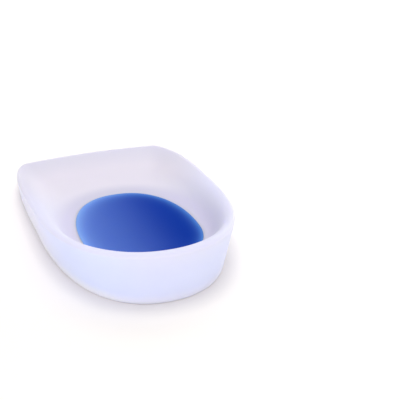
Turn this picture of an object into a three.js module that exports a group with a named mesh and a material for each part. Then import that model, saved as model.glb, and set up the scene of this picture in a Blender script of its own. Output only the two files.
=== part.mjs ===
// Heel protector: a silicone heel cup worn inside a shoe, with a softer gel pad cast into its floor.
// Millimetres, +Z up. The flat sole lies on z = 0, the heel end points to -Y and the front edge to +Y.
// The origin is under the middle of the cup.
import * as THREE from 'three';

// Outline of the sole, from the rearmost point of the heel to the middle of the front edge
const soleLength = 105;
const heelWidth = 61.8;
const heelRoundLength = 55;
const heelFullness = 0.65; // handle of the heel's round: 0.55 gives an ellipse, 1 a rectangle
const sideFairing = 0.4; // handle of the sides between heel and front
const frontWidth = 62.2;
const frontCornerAcross = 6.5;
const frontCornerAlong = 30.5;
const frontBow = 3; // how far the middle of the front edge stands ahead of its ends
const soleEdgeRound = 0.6;

// Wall and floor at even stations from the heel (along = 0) to the front edge (along = 1).
// The wall leans outward, and the floor is measured on the centre line, up to its top.
const stations = [
  { along: 0.0, wallHeight: 21.2, wallLean: 12.6, floorHeight: 10.0 },
  { along: 0.2, wallHeight: 17.9, wallLean: 11.9, floorHeight: 9.3 },
  { along: 0.4, wallHeight: 15.1, wallLean: 11.3, floorHeight: 8.0 },
  { along: 0.6, wallHeight: 12.3, wallLean: 10.4, floorHeight: 6.4 },
  { along: 0.8, wallHeight: 9.3, wallLean: 9.0, floorHeight: 5.1 },
  { along: 1.0, wallHeight: 5.9, wallLean: 2.0, floorHeight: 5.6 },
];
const rimRound = 1.1; // radius of the rim's outer edge
const rimShareOfWall = 0.42; // the rim's round takes at most this share of a low wall

// The bowl falls in an S from the crest of the rim to the pad. Both are shares of its run across the floor.
const rimRoll = 0.45; // handle at the crest: more gives a broader, softer rim
const floorRun = 0.6; // handle at the pad: more gives a flatter floor

// Gel pad: an oval with a blunt heel end and a longer front end, thickest in its middle
const padCentre = 32.5; // from the rearmost point of the sole
const padWidth = 40.8;
const padFrontReach = 34.7;
const padRearReach = 22.3;
const padRoundness = 2.26; // 2 gives half ellipses, more gives fuller ones
const padDish = 0.8; // how far the pad's top sinks in the middle
const padThickness = 4;
const padEdgeThickness = 1.6;
const padGap = 0.3; // clearance between the pad and its pocket

// Fineness of the surfaces
const pointsAround = 100;
const rimSteps = 5;
const bowlSteps = 12;
const padRings = [1, 0.82, 0.58, 0.3]; // share of the pad's reach, from its edge inwards

// Closed outline of the sole: heel round, side, front corner, bowed front edge, and the same back again
function soleOutline() {
  const heel = heelWidth / 2;
  const front = frontWidth / 2;
  const cornerX = front - frontCornerAcross;
  const cornerY = soleLength - frontBow * (cornerX / front) ** 2;
  const cornerPeakY = cornerY - (2 * frontBow * cornerX * frontCornerAcross) / front ** 2;
  const sideEndY = cornerPeakY - frontCornerAlong;
  const sideHandle = sideFairing * (sideEndY - heelRoundLength);
  const sideRearY = heelRoundLength + sideHandle;
  const sideFrontY = sideEndY - sideHandle;
  const frontPeakY = 2 * soleLength - cornerY;
  const handleX = heelFullness * heel;
  const handleY = (1 - heelFullness) * heelRoundLength;

  const outline = new THREE.Path();
  outline.moveTo(0, 0);
  outline.bezierCurveTo(handleX, 0, heel, handleY, heel, heelRoundLength);
  outline.bezierCurveTo(heel, sideRearY, front, sideFrontY, front, sideEndY);
  outline.quadraticCurveTo(front, cornerPeakY, cornerX, cornerY);
  outline.quadraticCurveTo(0, frontPeakY, -cornerX, cornerY);
  outline.quadraticCurveTo(-front, cornerPeakY, -front, sideEndY);
  outline.bezierCurveTo(-front, sideFrontY, -heel, sideRearY, -heel, heelRoundLength);
  outline.bezierCurveTo(-heel, handleY, -handleX, 0, 0, 0);
  return outline.getSpacedPoints(pointsAround).slice(0, pointsAround);
}

// Smooth curve through one column of the station table, as a function of the place along the cup
function columnAlong(column) {
  const curve = new THREE.SplineCurve(stations.map((row) => new THREE.Vector2(row.along, row[column])));
  return (y) => curve.getPoint(THREE.MathUtils.clamp(y / soleLength, 0, 1)).y;
}

const wallHeightAt = columnAlong('wallHeight');
const wallLeanAt = columnAlong('wallLean');
const floorHeightAt = columnAlong('floorHeight');

// Point of the pad's oval in a direction from its centre, at a share of its reach, grown by a clearance
function padPoint(direction, share, clearance) {
  const endReach = direction.y > 0 ? padFrontReach : padRearReach;
  const across = Math.abs(direction.x) / (padWidth / 2 + clearance);
  const along = Math.abs(direction.y) / (endReach + clearance);
  const reach = (across ** padRoundness + along ** padRoundness) ** (-1 / padRoundness);
  return new THREE.Vector2(0, padCentre).addScaledVector(direction, reach * share);
}

// Height of the pad's top, and its thickness, at a share of the pad's reach
const padTopAt = (y, share) => floorHeightAt(y) - padDish * (1 - share ** 2);
const padThicknessAt = (share) => padEdgeThickness + (padThickness - padEdgeThickness) * (1 - share ** 2);

// One closed surface through rings of points that run anticlockwise seen from above.
// The first ring is capped against the way the rings go, the last one along it.
function closedLoft(rings) {
  const count = pointsAround;
  const faces = [];
  for (let ring = 0; ring + 1 < rings.length; ring++) {
    for (let i = 0; i < count; i++) {
      const next = (i + 1) % count;
      const lower = ring * count;
      const upper = lower + count;
      faces.push(lower + i, lower + next, upper + next, lower + i, upper + next, upper + i);
    }
  }
  // A cap is a row of strips between the points that mirror each other left and right
  const cap = (start, flip) => {
    const face = (a, b, c) => faces.push(start + a, start + (flip ? c : b), start + (flip ? b : c));
    for (let i = 0; i < count / 2; i++) {
      const mirror = count - i;
      if (i > 0) face(i, i + 1, mirror);
      if (i + 1 < count / 2) face(i + 1, mirror - 1, mirror % count);
    }
  };
  cap(0, true);
  cap((rings.length - 1) * count, false);

  const geometry = new THREE.BufferGeometry().setFromPoints(rings.flat());
  geometry.setIndex(faces);
  geometry.computeVertexNormals();
  return geometry;
}

// The sections of the cup: at each outline point the wall's lean, its rim and the edge of the pad's pocket
function cupSections() {
  const outline = soleOutline();
  return outline.map((point, i) => {
    const before = outline[(i + pointsAround - 1) % pointsAround];
    const after = outline[(i + 1) % pointsAround];
    const outward = new THREE.Vector2(after.y - before.y, before.x - after.x).normalize();
    const toPad = point.clone().sub(new THREE.Vector2(0, padCentre)).normalize();
    const pocketEdge = padPoint(toPad, 1, padGap);
    const height = wallHeightAt(point.y);
    const lean = THREE.MathUtils.degToRad(wallLeanAt(point.y));
    const rimRadius = Math.min(rimRound, rimShareOfWall * height);
    const rimHeight = height - rimRadius;
    const rimOffset = Math.tan(lean) * rimHeight - rimRadius / Math.cos(lean);
    return { point, outward, toPad, pocketEdge, lean, rimRadius, rimHeight, rimOffset };
  });
}

// Section of the bowl: x is the share of the run from the pad to the crest, y the share of the rise
const bowlCurve = new THREE.CubicBezierCurve(
  new THREE.Vector2(1, 1),
  new THREE.Vector2(1 - rimRoll, 1),
  new THREE.Vector2(floorRun, 0),
  new THREE.Vector2(0, 0),
);

// A ring of points, one for each section, offset outward from the sole's outline at a height
function offsetRing(sections, offsetAndHeight) {
  return sections.map((section) => {
    const [offset, height] = offsetAndHeight(section);
    const place = section.point.clone().addScaledVector(section.outward, offset);
    return new THREE.Vector3(place.x, place.y, height);
  });
}

// Cup: sole, leaning wall, round rim, bowl and the pad's pocket, as one casting
function cupGeometry(sections) {
  const rings = [];
  rings.push(offsetRing(sections, () => [-soleEdgeRound, 0]));
  const edgeDrop = soleEdgeRound * (1 - Math.SQRT1_2);
  rings.push(offsetRing(sections, () => [-edgeDrop, edgeDrop]));
  rings.push(offsetRing(sections, ({ lean }) => [Math.tan(lean) * soleEdgeRound, soleEdgeRound]));

  for (let step = 0; step <= rimSteps; step++) {
    rings.push(offsetRing(sections, ({ lean, rimRadius, rimHeight, rimOffset }) => {
      const turn = THREE.MathUtils.lerp(-lean, Math.PI / 2, step / rimSteps);
      return [rimOffset + rimRadius * Math.cos(turn), rimHeight + rimRadius * Math.sin(turn)];
    }));
  }

  const crestRing = rings.at(-1);
  for (let step = 1; step <= bowlSteps; step++) {
    const { x: run, y: lift } = bowlCurve.getPoint(step / bowlSteps);
    rings.push(sections.map(({ pocketEdge }, i) => {
      const crest = crestRing[i];
      const x = THREE.MathUtils.lerp(pocketEdge.x, crest.x, run);
      const y = THREE.MathUtils.lerp(pocketEdge.y, crest.y, run);
      const rise = crest.z - floorHeightAt(crest.y);
      return new THREE.Vector3(x, y, floorHeightAt(y) + rise * lift);
    }));
  }

  for (const share of padRings) {
    rings.push(sections.map(({ toPad }) => {
      const { x, y } = padPoint(toPad, share, padGap);
      return new THREE.Vector3(x, y, padTopAt(y, share) - padThicknessAt(share) - padGap);
    }));
  }
  return closedLoft(rings);
}

// Pad: a lens whose top carries on the line of the floor and whose underside follows the pocket
function padGeometry(sections) {
  const padRing = (share, depthShare) => sections.map(({ toPad }) => {
    const { x, y } = padPoint(toPad, share, 0);
    return new THREE.Vector3(x, y, padTopAt(y, share) - depthShare * padThicknessAt(share));
  });
  const underside = padRings.toReversed().map((share) => padRing(share, 1));
  const top = padRings.map((share) => padRing(share, 0));
  return closedLoft([...underside, ...top]);
}

const milkySilicone = new THREE.MeshStandardMaterial({ color: 0xe8e6fa, roughness: 0.45, metalness: 0 });
const blueGel = new THREE.MeshStandardMaterial({ color: 0x3d5cba, roughness: 0.35, metalness: 0 });

const sections = cupSections();
const cupBody = new THREE.Mesh(cupGeometry(sections), milkySilicone);
cupBody.name = 'cup_body';
const gelPad = new THREE.Mesh(padGeometry(sections), blueGel);
gelPad.name = 'gel_pad';

const heelProtector = new THREE.Group();
heelProtector.name = 'heel_protector';
heelProtector.add(cupBody, gelPad);
heelProtector.position.y = -new THREE.Box3().setFromObject(cupBody).getCenter(new THREE.Vector3()).y;

export default heelProtector;
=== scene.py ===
import math

import bpy
import numpy as np
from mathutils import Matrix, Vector
from mathutils.kdtree import KDTree


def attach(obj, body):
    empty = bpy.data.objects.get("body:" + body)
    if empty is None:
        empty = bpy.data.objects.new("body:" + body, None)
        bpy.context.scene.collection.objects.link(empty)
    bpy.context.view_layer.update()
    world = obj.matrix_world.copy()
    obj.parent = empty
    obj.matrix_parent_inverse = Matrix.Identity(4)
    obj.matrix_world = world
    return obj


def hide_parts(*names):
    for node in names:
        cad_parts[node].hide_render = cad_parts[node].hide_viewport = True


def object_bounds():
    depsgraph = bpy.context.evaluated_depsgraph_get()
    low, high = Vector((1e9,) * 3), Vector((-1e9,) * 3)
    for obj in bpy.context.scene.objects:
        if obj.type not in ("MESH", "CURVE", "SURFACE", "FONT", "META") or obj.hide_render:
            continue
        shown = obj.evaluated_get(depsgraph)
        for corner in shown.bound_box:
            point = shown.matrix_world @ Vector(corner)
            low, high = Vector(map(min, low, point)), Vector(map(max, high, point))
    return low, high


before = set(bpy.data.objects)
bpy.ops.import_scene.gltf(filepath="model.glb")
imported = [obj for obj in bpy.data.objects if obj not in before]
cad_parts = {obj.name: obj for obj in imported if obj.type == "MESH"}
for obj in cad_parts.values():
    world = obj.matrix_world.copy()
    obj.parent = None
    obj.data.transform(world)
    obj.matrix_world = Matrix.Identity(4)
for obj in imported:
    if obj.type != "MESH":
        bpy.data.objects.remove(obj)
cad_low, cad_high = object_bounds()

# Camera: a long lens that looks down on the heel end of the cup, from a little to its left.
# Its aim lies near the cup's right side and ahead of its middle, which puts the cup at the left of the
# frame and a little below its middle.
camera_azimuth = math.radians(-18.55)
camera_elevation = math.radians(28.0)
camera_distance = 0.519  # metres, as the aim
camera_aim = Vector((0.0319, 0.0139, 0.0))
sensor_width = 36.0  # millimetres
frame_pixels = 400
focal_pixels = 1400

camera_back = Vector((
    math.sin(camera_azimuth) * math.cos(camera_elevation),
    -math.cos(camera_azimuth) * math.cos(camera_elevation),
    math.sin(camera_elevation),
))
camera_data = bpy.data.cameras.new("camera")
camera_data.sensor_width = sensor_width
camera_data.lens = focal_pixels * sensor_width / frame_pixels
camera = bpy.data.objects.new("camera", camera_data)
camera.location = camera_aim + camera_back * camera_distance
camera.rotation_mode = "QUATERNION"
camera.rotation_quaternion = (-camera_back).to_track_quat("-Z", "Y")
bpy.context.scene.collection.objects.link(camera)
bpy.context.scene.camera = camera

# Cup: one casting of milky silicone rubber, with a flat sole, a wall that leans outward and falls from
# the heel to the front edge, a rim that rolls softly into the bowl, and a dished floor with a pocket for
# the pad. Sizes are in millimetres, measured from the rearmost point of the sole.
mm = 0.001
sole_length = 105.0
heel_width = 61.8
heel_round_length = 55.0
heel_fullness = 0.65  # handle of the heel's round: 0.55 gives an ellipse, 1 a rectangle
side_fairing = 0.4  # handle of the sides between heel and front
front_width = 62.2
front_corner_across = 6.5
front_corner_along = 30.5
front_bow = 3.0  # how far the middle of the front edge stands ahead of its ends
sole_edge_round = 0.6
rim_round = 1.1
rim_share_of_wall = 0.42  # the rim's round takes at most this share of a low wall
rim_roll = 0.45  # handle of the bowl's section at the crest: more gives a broader, softer rim
floor_run = 0.6  # handle at the pad: more gives a flatter floor

# Wall and floor at even stations from the heel to the front edge. The lean is outward and in degrees, and
# the floor is measured on the centre line.
stations = (
    dict(wall_height=21.2, wall_lean=12.6, floor_height=10.0),
    dict(wall_height=17.9, wall_lean=11.9, floor_height=9.3),
    dict(wall_height=15.1, wall_lean=11.3, floor_height=8.0),
    dict(wall_height=12.3, wall_lean=10.4, floor_height=6.4),
    dict(wall_height=9.3, wall_lean=9.0, floor_height=5.1),
    dict(wall_height=5.9, wall_lean=2.0, floor_height=5.6),
)

# The pocket follows the pad, an oval with a blunt heel end and a longer front end, thickest in its middle
pad_centre = np.array([0.0, 32.5])
pad_width = 40.8
pad_front_reach = 34.7
pad_rear_reach = 22.3
pad_roundness = 2.26  # 2 gives half ellipses, more gives fuller ones
pad_dish = 0.8  # how far the pad's top sinks in the middle
pad_thickness = 4.0
pad_edge_thickness = 1.6
pocket_gap = 0.3

# Fineness of the meshes, and the angle from which an edge is shaded as sharp
points_around = 320
curve_points = 160
sharp_angle = math.radians(50)


def column_along(column):
    """Smooth curve through one column of the station table, as a function of the place along the cup."""
    values = np.array([row[column] for row in stations])
    last = len(values) - 1

    def at(y):
        place = np.clip(np.asarray(y) / sole_length, 0.0, 1.0) * last
        start = np.minimum(place.astype(int), last - 1)
        t = place - start
        here, there = values[start], values[start + 1]
        leaving = (there - values[np.maximum(start - 1, 0)]) / 2
        arriving = (values[np.minimum(start + 2, last)] - here) / 2
        cubic = 2 * here - 2 * there + leaving + arriving
        square = 3 * there - 3 * here - 2 * leaving - arriving
        return ((cubic * t + square) * t + leaving) * t + here

    return at


wall_height_at = column_along("wall_height")
wall_lean_at = column_along("wall_lean")
floor_height_at = column_along("floor_height")


def bezier(*controls, count=curve_points):
    """Points of a Bezier curve from its first control point to its last."""
    t = np.linspace(0, 1, count)[:, None]
    degree = len(controls) - 1
    terms = [math.comb(degree, i) * t ** i * (1 - t) ** (degree - i) for i in range(degree + 1)]
    return sum(term * np.array(control, float) for term, control in zip(terms, controls))


def sole_outline():
    """Evenly spaced points of the sole's outline, anticlockwise from the heel, and outward directions."""
    heel, front = heel_width / 2, front_width / 2
    corner_x = front - front_corner_across
    corner_y = sole_length - front_bow * (corner_x / front) ** 2
    peak_y = corner_y - 2 * front_bow * corner_x * front_corner_across / front ** 2
    side_end = peak_y - front_corner_along
    handle = side_fairing * (side_end - heel_round_length)
    heel_round = bezier(
        (0, 0), (heel_fullness * heel, 0),
        (heel, (1 - heel_fullness) * heel_round_length), (heel, heel_round_length),
    )
    side = bezier(
        (heel, heel_round_length), (heel, heel_round_length + handle),
        (front, side_end - handle), (front, side_end),
    )
    corner = bezier((front, side_end), (front, peak_y), (corner_x, corner_y))
    front_edge = bezier((corner_x, corner_y), (0, 2 * sole_length - corner_y), (-corner_x, corner_y))

    # The front edge is cut just past its middle, and its last point is set on the centre line
    front_half = front_edge[1:curve_points // 2 + 1]
    front_half[-1, 0] = 0
    half = np.concatenate([heel_round, side[1:], corner[1:], front_half])
    whole = np.concatenate([half, half[-2::-1] * (-1, 1)])
    run = np.concatenate([[0], np.cumsum(np.linalg.norm(np.diff(whole, axis=0), axis=1))])
    even = np.linspace(0, run[-1], points_around, endpoint=False)
    outline = np.stack([np.interp(even, run, whole[:, axis]) for axis in (0, 1)], axis=1)
    along = np.roll(outline, -1, axis=0) - np.roll(outline, 1, axis=0)
    outward = np.stack([along[:, 1], -along[:, 0]], axis=1)
    return outline, outward / np.linalg.norm(outward, axis=1, keepdims=True)


# Directions from the middle of the pad to the points of the outline
outline, outward = sole_outline()
from_pad = outline - pad_centre
from_pad /= np.linalg.norm(from_pad, axis=1, keepdims=True)


def pad_oval(share, clearance):
    """Points of the pad's oval, in the directions of the outline, at a share of its reach."""
    end_reach = np.where(from_pad[:, 1] > 0, pad_front_reach, pad_rear_reach)
    across = np.abs(from_pad[:, 0]) / (pad_width / 2 + clearance)
    along = np.abs(from_pad[:, 1]) / (end_reach + clearance)
    reach = (across ** pad_roundness + along ** pad_roundness) ** (-1 / pad_roundness)
    return pad_centre + from_pad * (reach * share)[:, None]


def pad_top_at(y, share):
    """Height of the pad's top at a share of its reach: the floor's line, dished in the middle."""
    return floor_height_at(y) - pad_dish * (1 - share ** 2)


def pad_thickness_at(share):
    """Thickness of the pad at a share of its reach."""
    return pad_edge_thickness + (pad_thickness - pad_edge_thickness) * (1 - share ** 2)


def ring(points, height):
    """A ring of points in space from its plan and its height."""
    return np.column_stack([points, np.broadcast_to(height, len(points))])


def wall_ring(offset, level):
    """A ring at a level, offset outward from the sole's outline."""
    return ring(outline + outward * np.broadcast_to(offset, points_around)[:, None], level)


def closed_loft(name, rings, heel_end):
    """A closed, smooth-shaded mesh through rings of points, capped by strips between mirrored points.

    The rings are measured from the rearmost point of the sole, which goes to heel_end in the frame.
    """
    count = points_around
    half = count // 2
    last_ring = (len(rings) - 1) * count
    i = np.arange(count)
    after = (i + 1) % count
    faces = []
    for lower in range(0, last_ring, count):
        upper = lower + count
        faces += np.column_stack([lower + i, lower + after, upper + after, upper + i]).tolist()
    for start, turn in ((0, -1), (last_ring, 1)):
        strips = [[start, start + 1, start + count - 1]]
        strips += [[start + k, start + k + 1, start + count - k - 1, start + count - k]
                   for k in range(1, half - 1)]
        strips.append([start + half - 1, start + half, start + half + 1])
        faces += [strip[::turn] for strip in strips]
    mesh = bpy.data.meshes.new(name)
    corners = np.concatenate(rings) + (0, heel_end, 0)
    mesh.from_pydata((corners * mm).tolist(), [], faces)
    mesh.shade_smooth()
    mesh.set_sharp_from_angle(angle=sharp_angle)
    piece = bpy.data.objects.new(name, mesh)
    bpy.context.scene.collection.objects.link(piece)
    return piece


wall_height = wall_height_at(outline[:, 1])
lean = np.radians(wall_lean_at(outline[:, 1]))
rim_radius = np.minimum(rim_round, rim_share_of_wall * wall_height)
rim_height = wall_height - rim_radius
rim_offset = np.tan(lean) * rim_height - rim_radius / np.cos(lean)
wall_top = rim_height - rim_radius * np.sin(lean)

# Rings from the middle of the sole outward, up the wall, over the rim, down the bowl and into the pocket.
# The sole closes on a spine along its middle, which keeps its faces even.
spine_start, spine_end = 24.0, 88.0
sole_shares = (0.9, 0.7, 0.5, 0.3, 0.15)
sole_edge_steps = 6
wall_steps = 17
rim_steps = 12
bowl_steps = 54
pocket_shares = (1, 0.9, 0.75, 0.55, 0.3)

cup_rings = []
spine = np.column_stack([np.zeros(points_around), np.clip(outline[:, 1], spine_start, spine_end)])
for share in sole_shares:
    cup_rings.append(ring(outline + (spine - outline) * share, 0.0))
for turn in np.linspace(-math.pi / 2, 0, sole_edge_steps + 1):
    level = sole_edge_round * (1 + math.sin(turn))
    cup_rings.append(wall_ring(sole_edge_round * (math.cos(turn) - 1) + np.tan(lean) * level, level))
for share in np.linspace(0, 1, wall_steps + 1)[1:-1]:
    level = sole_edge_round + (wall_top - sole_edge_round) * share
    cup_rings.append(wall_ring(np.tan(lean) * level, level))
rings_to_rim = len(cup_rings)
for share in np.linspace(0, 1, rim_steps + 1):
    turn = -lean + (math.pi / 2 + lean) * share
    level = rim_height + rim_radius * np.sin(turn)
    cup_rings.append(wall_ring(rim_offset + rim_radius * np.cos(turn), level))
rings_to_crest = len(cup_rings)
crest_ring = cup_rings[-1]
pocket_edge = pad_oval(1, pocket_gap)
rise = crest_ring[:, 2] - floor_height_at(crest_ring[:, 1])
bowl_section = bezier((1, 1), (1 - rim_roll, 1), (floor_run, 0), (0, 0), count=bowl_steps + 1)
for run, lift in bowl_section[1:]:
    plan = pocket_edge + (crest_ring[:, :2] - pocket_edge) * run
    cup_rings.append(ring(plan, floor_height_at(plan[:, 1]) + rise * lift))
for share in pocket_shares:
    plan = pad_oval(share, pocket_gap)
    level = pad_top_at(plan[:, 1], share) - pad_thickness_at(share) - pocket_gap
    cup_rings.append(ring(plan, level))

# The rearmost point of the rim meets the heel end of the frame's box
heel_end = cad_low.y / mm - min(points[:, 1].min() for points in cup_rings)
cup = closed_loft("silicone_cup", cup_rings, heel_end)


def set_attribute(piece, name, values):
    """Gives each point of a piece a value that its material reads."""
    attribute = piece.data.attributes.new(name, "FLOAT", "POINT")
    attribute.data.foreach_set("value", np.asarray(values, np.float32))


def smooth_step(values, start, end):
    """0 before start, 1 after end, and a smooth rise between them."""
    t = np.clip((np.asarray(values) - start) / (end - start), 0, 1)
    return t * t * (3 - 2 * t)


# Tones that stand in for the light inside the silicone. The wall's tone passes into the floor's across the
# rim. The rim carries painted shade, which is gone a little before the middle of the bowl.
ring_number = np.arange(len(cup_rings))
inside_share = smooth_step(ring_number, rings_to_rim, rings_to_crest)
set_attribute(cup, "outside_share", np.repeat(1 - inside_share, points_around))
shade_start = rings_to_rim - 2
shade_full = rings_to_rim + 5
fade_start = rings_to_crest - 3
fade_end = rings_to_crest + 23
rim_rise = smooth_step(ring_number, shade_start, shade_full)
rim_fall = smooth_step(ring_number, fade_start, fade_end)
set_attribute(cup, "rim_painted_shade", np.repeat(rim_rise * (1 - rim_fall), points_around))

# Painted shade makes the floor greyer ahead of the pad, and painted light from the table brightens the
# wall's foot. Painted light makes the wall's left side bluer near the heel and paler where the wall is
# low.
cup_points = np.concatenate(cup_rings)
front_start, front_full = 48.0, 82.0
set_attribute(cup, "front_share", smooth_step(cup_points[:, 1], front_start, front_full))
low_start, low_full = 15.0, 58.0
set_attribute(cup, "low_share", smooth_step(cup_points[:, 1], low_start, low_full))
foot_height = 5.0
set_attribute(cup, "foot_share", 1 - smooth_step(cup_points[:, 2], 0, foot_height))
left_start, left_full = 6.0, 26.0
set_attribute(cup, "left_share", smooth_step(-cup_points[:, 0], left_start, left_full))


def distance_to_nearest(points, targets):
    """Distance from each point to the nearest of the targets."""
    lookup = KDTree(len(targets))
    for i, target in enumerate(targets):
        lookup.insert(target, i)
    lookup.balance()
    return np.array([lookup.find(point)[2] for point in points])


# The pad's blue is painted onto the wall where the pad is near, as light coming through it, and painted
# shade darkens the floor close to the pocket. A narrow line runs along the pocket's edge. The pad's two
# faces are taken as rings at even shares.
wall_full, wall_reach = 6.0, 24.0
floor_full, floor_reach = 2.5, 10.0
seam_strength, seam_reach = 0.1, 0.5
face_shares = np.linspace(1, 0.1, 6)
pad_faces = []
for share in face_shares:
    plan = pad_oval(share, 0)
    top = pad_top_at(plan[:, 1], share)
    pad_faces += [ring(plan, top), ring(plan, top - pad_thickness_at(share))]
pad_distance = distance_to_nearest(cup_points, np.concatenate(pad_faces))
seam_distance = np.maximum(pad_distance - pocket_gap, 0)
set_attribute(cup, "wall_painted_glow", 1 - smooth_step(pad_distance, wall_full, wall_reach))
set_attribute(cup, "floor_painted_shade", 1 - smooth_step(pad_distance, floor_full, floor_reach))
set_attribute(cup, "pad_seam", seam_strength * np.exp(-seam_distance / seam_reach))


def to_linear(hex_colour):
    """Linear colour of an sRGB hex value."""
    channels = [int(hex_colour[i:i + 2], 16) / 255 for i in (1, 3, 5)]
    return [c / 12.92 if c <= 0.04045 else ((c + 0.055) / 1.055) ** 2.4 for c in channels] + [1.0]


def new_material(name):
    """An empty material and its node tree."""
    material = bpy.data.materials.new(name)
    material.use_nodes = True
    material.node_tree.nodes.clear()
    return material, material.node_tree


def add_node(tree, kind, inputs=None, **settings):
    """Adds a node, sets its properties, and gives its inputs values or links from other nodes."""
    node = tree.nodes.new(kind)
    for name, value in settings.items():
        setattr(node, name, value)
    for key, value in (inputs or {}).items():
        if isinstance(value, bpy.types.NodeSocket):
            tree.links.new(value, node.inputs[key])
        else:
            node.inputs[key].default_value = value
    return node


# Translucent silicone rubber, cast in a smooth mould: milky and soft-edged, since light wanders some
# millimetres through it, faintly cloudy, and satin with no clear highlight.
silicone, tree = new_material("milky_silicone")
place = add_node(tree, "ShaderNodeTexCoord").outputs["Object"]
outside = add_node(tree, "ShaderNodeAttribute", attribute_name="outside_share").outputs["Fac"]
front = add_node(tree, "ShaderNodeAttribute", attribute_name="front_share").outputs["Fac"]
foot = add_node(tree, "ShaderNodeAttribute", attribute_name="foot_share").outputs["Fac"]
left = add_node(tree, "ShaderNodeAttribute", attribute_name="left_share").outputs["Fac"]
low = add_node(tree, "ShaderNodeAttribute", attribute_name="low_share").outputs["Fac"]
rim = add_node(tree, "ShaderNodeAttribute", attribute_name="rim_painted_shade").outputs["Fac"]
wall_painted_glow = add_node(tree, "ShaderNodeAttribute", attribute_name="wall_painted_glow").outputs["Fac"]
floor_painted_shade = add_node(tree, "ShaderNodeAttribute", attribute_name="floor_painted_shade").outputs["Fac"]
seam = add_node(tree, "ShaderNodeAttribute", attribute_name="pad_seam").outputs["Fac"]
cloud_size = 16 * mm
cloud = add_node(tree, "ShaderNodeTexNoise", {"Vector": place, "Scale": 1 / cloud_size, "Detail": 2.0})

# A Mix node has several sockets of one name, so those for colours are picked by number
mix_share, mix_from, mix_to, mix_result = 0, 6, 7, 2
# Floor tones: painted shade makes the floor greyer ahead of the pad, over faint clouds at random
cloudy_front_shade = add_node(tree, "ShaderNodeMix", {
    mix_share: cloud.outputs["Fac"], mix_from: to_linear("#d4cfdc"), mix_to: to_linear("#dad4e1"),
}, data_type="RGBA").outputs[mix_result]
open_milk = add_node(tree, "ShaderNodeMix", {
    mix_share: front, mix_from: to_linear("#d6d5e5"), mix_to: cloudy_front_shade,
}, data_type="RGBA").outputs[mix_result]
# Painted shade darkens the floor close to the pocket
pad_shaded_milk = add_node(tree, "ShaderNodeMix", {
    mix_share: front, mix_from: to_linear("#cac6df"), mix_to: to_linear("#c2bfd0"),
}, data_type="RGBA").outputs[mix_result]
inside_milk = add_node(tree, "ShaderNodeMix", {
    mix_share: floor_painted_shade, mix_from: open_milk, mix_to: pad_shaded_milk,
}, data_type="RGBA").outputs[mix_result]
# Wall tones: the pad's blue is painted on near the pad, as light coming through the wall
heel_milk = add_node(tree, "ShaderNodeMix", {
    mix_share: wall_painted_glow, mix_from: to_linear("#d7d7e1"), mix_to: to_linear("#d0d6f3"),
}, data_type="RGBA").outputs[mix_result]
# Painted light makes the wall's left side bluer near the heel and paler where the wall is low
left_painted_light = add_node(tree, "ShaderNodeMix", {
    mix_share: low, mix_from: to_linear("#d2d9ff"), mix_to: to_linear("#e2e2ff"),
}, data_type="RGBA").outputs[mix_result]
wall_milk = add_node(tree, "ShaderNodeMix", {
    mix_share: left, mix_from: heel_milk, mix_to: left_painted_light,
}, data_type="RGBA").outputs[mix_result]
milk = add_node(tree, "ShaderNodeMix", {
    mix_share: outside, mix_from: inside_milk, mix_to: wall_milk,
}, data_type="RGBA").outputs[mix_result]
# Painted shade on the rim, a little greyer towards the front
rim_shade_tone = add_node(tree, "ShaderNodeMix", {
    mix_share: front, mix_from: to_linear("#cfcfe3"), mix_to: to_linear("#cdcad9"),
}, data_type="RGBA").outputs[mix_result]
rim_shaded_milk = add_node(tree, "ShaderNodeMix", {
    mix_share: rim, mix_from: milk, mix_to: rim_shade_tone,
}, data_type="RGBA").outputs[mix_result]
# Painted light at the wall's foot, stronger at the left
foot_painted_light = add_node(tree, "ShaderNodeMix", {
    mix_share: left, mix_from: to_linear("#dcdcf2"), mix_to: to_linear("#e9e9ff"),
}, data_type="RGBA").outputs[mix_result]
lit_milk = add_node(tree, "ShaderNodeMix", {
    mix_share: foot, mix_from: rim_shaded_milk, mix_to: foot_painted_light,
}, data_type="RGBA").outputs[mix_result]
edged_milk = add_node(tree, "ShaderNodeMix", {
    mix_share: seam, mix_from: lit_milk, mix_to: to_linear("#a2b6e2"),
}, data_type="RGBA").outputs[mix_result]

# The grain that a smooth mould leaves is too fine to show, so it is drawn coarser
grain_size = 0.8 * mm
grain_depth = 0.05 * mm
grain = add_node(tree, "ShaderNodeTexNoise", {"Vector": place, "Scale": 1 / grain_size, "Detail": 3.0})
bump = add_node(tree, "ShaderNodeBump", {
    "Height": grain.outputs["Fac"], "Strength": 0.15, "Distance": grain_depth,
})
silicone_light_path = 3 * mm
shader = add_node(tree, "ShaderNodeBsdfPrincipled", {
    "Base Color": edged_milk,
    "Roughness": 0.5,
    "IOR": 1.41,
    "Specular IOR Level": 0.2,
    "Subsurface Weight": 1.0,
    "Subsurface Radius": (1.0, 0.95, 1.1),
    "Subsurface Scale": silicone_light_path,
    "Normal": bump.outputs["Normal"],
})
add_node(tree, "ShaderNodeOutputMaterial", {"Surface": shader.outputs["BSDF"]})
cup.data.materials.append(silicone)
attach(cup, "root")
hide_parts("cup_body")

# Pad: softer silicone gel, dyed blue and cast into the pocket, flush with the floor round it.
# It is a lens that thins to its edge. It bonds to the cup as it sets, so the gap that the solids keep is
# closed to a hair line.
seam_width = 0.015
pad_grow = pocket_gap - seam_width
underside_shares = (0.1, 0.3, 0.5, 0.7, 0.85, 0.95, 1)
top_shares = np.linspace(1, 0.06, 40)
pad_rings = []
for share in underside_shares:
    plan = pad_oval(share, pad_grow)
    pad_rings.append(ring(plan, pad_top_at(plan[:, 1], share) - pad_thickness_at(share)))
for share in top_shares:
    plan = pad_oval(share, pad_grow)
    pad_rings.append(ring(plan, pad_top_at(plan[:, 1], share)))
pad = closed_loft("gel_pad_cast", pad_rings, heel_end)
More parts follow.
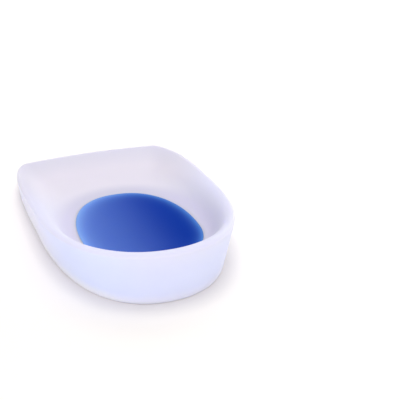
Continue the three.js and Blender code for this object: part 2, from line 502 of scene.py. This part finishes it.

# The gel pales towards its thin edge, further in at the left, and painted shade deepens its blue from left
# to right
deep_start, deep_full = -0.45 * pad_width, 0.42 * pad_width
left_pale_reach, right_pale_reach = 2.5, 1.3
pad_points = np.concatenate(pad_rings)
pad_edge = ring(pad_oval(1, pad_grow), 0.0)
edge_depth = distance_to_nearest(pad_points * (1, 1, 0), pad_edge)
pad_shade_share = smooth_step(pad_points[:, 0], deep_start, deep_full)
pale_reach = left_pale_reach + (right_pale_reach - left_pale_reach) * pad_shade_share
set_attribute(pad, "pad_shade_share", pad_shade_share)
set_attribute(pad, "pale_edge", np.exp(-edge_depth / pale_reach))

# Dyed silicone gel, cast: a strong blue that light enters a little way, so that it looks soft, with a pale
# edge and hardly any gloss.
gel, tree = new_material("blue_gel")
pale = add_node(tree, "ShaderNodeAttribute", attribute_name="pale_edge").outputs["Fac"]
deep = add_node(tree, "ShaderNodeAttribute", attribute_name="pad_shade_share").outputs["Fac"]
# Painted shade deepens the blue from left to right, in the body and at the pale edge
body_blue = add_node(tree, "ShaderNodeMix", {
    mix_share: deep, mix_from: to_linear("#4b67ba"), mix_to: to_linear("#022e92"),
}, data_type="RGBA").outputs[mix_result]
edge_blue = add_node(tree, "ShaderNodeMix", {
    mix_share: deep, mix_from: to_linear("#7da3ec"), mix_to: to_linear("#5488d8"),
}, data_type="RGBA").outputs[mix_result]
gel_blue = add_node(tree, "ShaderNodeMix", {
    mix_share: pale, mix_from: body_blue, mix_to: edge_blue,
}, data_type="RGBA").outputs[mix_result]
gel_light_path = 2 * mm
shader = add_node(tree, "ShaderNodeBsdfPrincipled", {
    "Base Color": gel_blue,
    "Roughness": 0.45,
    "IOR": 1.41,
    "Specular IOR Level": 0.01,
    "Subsurface Weight": 0.6,
    "Subsurface Radius": (0.3, 0.5, 1.0),
    "Subsurface Scale": gel_light_path,
})
add_node(tree, "ShaderNodeOutputMaterial", {"Surface": shader.outputs["BSDF"]})
pad.data.materials.append(gel)
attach(pad, "root")
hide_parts("gel_pad")

# Floor and light: a white table in an even light tent, with soft boxes overhead, behind, low down under
# the camera, and low down at the right. They leave only a short, soft shadow round the foot of the wall.
floor_half = 3.0  # metres
floor_mesh = bpy.data.meshes.new("floor")
floor_mesh.from_pydata(
    [(-floor_half, -floor_half, 0), (floor_half, -floor_half, 0), (floor_half, floor_half, 0),
     (-floor_half, floor_half, 0)], [], [(0, 1, 2, 3)])
floor = bpy.data.objects.new("floor", floor_mesh)
bpy.context.scene.collection.objects.link(floor)

# Matt white table top: a plain, faintly warm white with no highlight
table, tree = new_material("white_table")
shader = add_node(tree, "ShaderNodeBsdfPrincipled", {
    "Base Color": to_linear("#f7f3ef"), "Roughness": 0.9, "Specular IOR Level": 0.0,
})
add_node(tree, "ShaderNodeOutputMaterial", {"Surface": shader.outputs["BSDF"]})
floor_mesh.materials.append(table)

tent_strength = 0.67
world = bpy.data.worlds.new("light_tent")
world.use_nodes = True
tent = world.node_tree.nodes["Background"]
tent.inputs["Color"].default_value = (1, 1, 1, 1)
tent.inputs["Strength"].default_value = tent_strength
bpy.context.scene.world = world


def add_soft_box(name, azimuth, elevation, width, height, watts):
    """A soft box one metre from the cup, facing it. Angles are in degrees, and its sides in metres."""
    turn, tilt = math.radians(azimuth), math.radians(elevation)
    toward = Vector((math.sin(turn) * math.cos(tilt), -math.cos(turn) * math.cos(tilt), math.sin(tilt)))
    light = bpy.data.lights.new(name, "AREA")
    light.shape = "RECTANGLE"
    light.size = width
    light.size_y = height
    light.energy = watts
    lamp = bpy.data.objects.new(name, light)
    lamp.location = toward
    lamp.rotation_mode = "QUATERNION"
    lamp.rotation_quaternion = (-toward).to_track_quat("-Z", "Y")
    bpy.context.scene.collection.objects.link(lamp)


add_soft_box("overhead_soft_box", azimuth=0, elevation=89, width=0.4, height=0.4, watts=2.8)
add_soft_box("back_soft_box", azimuth=165, elevation=45, width=1.0, height=0.7, watts=2.5)
add_soft_box("front_soft_box", azimuth=-20, elevation=10, width=1.2, height=0.33, watts=4.1)
add_soft_box("side_soft_box", azimuth=110, elevation=14, width=1.2, height=0.33, watts=2.8)

bpy.context.scene.view_settings.view_transform = "Standard"
bpy.context.scene.view_settings.look = "None"
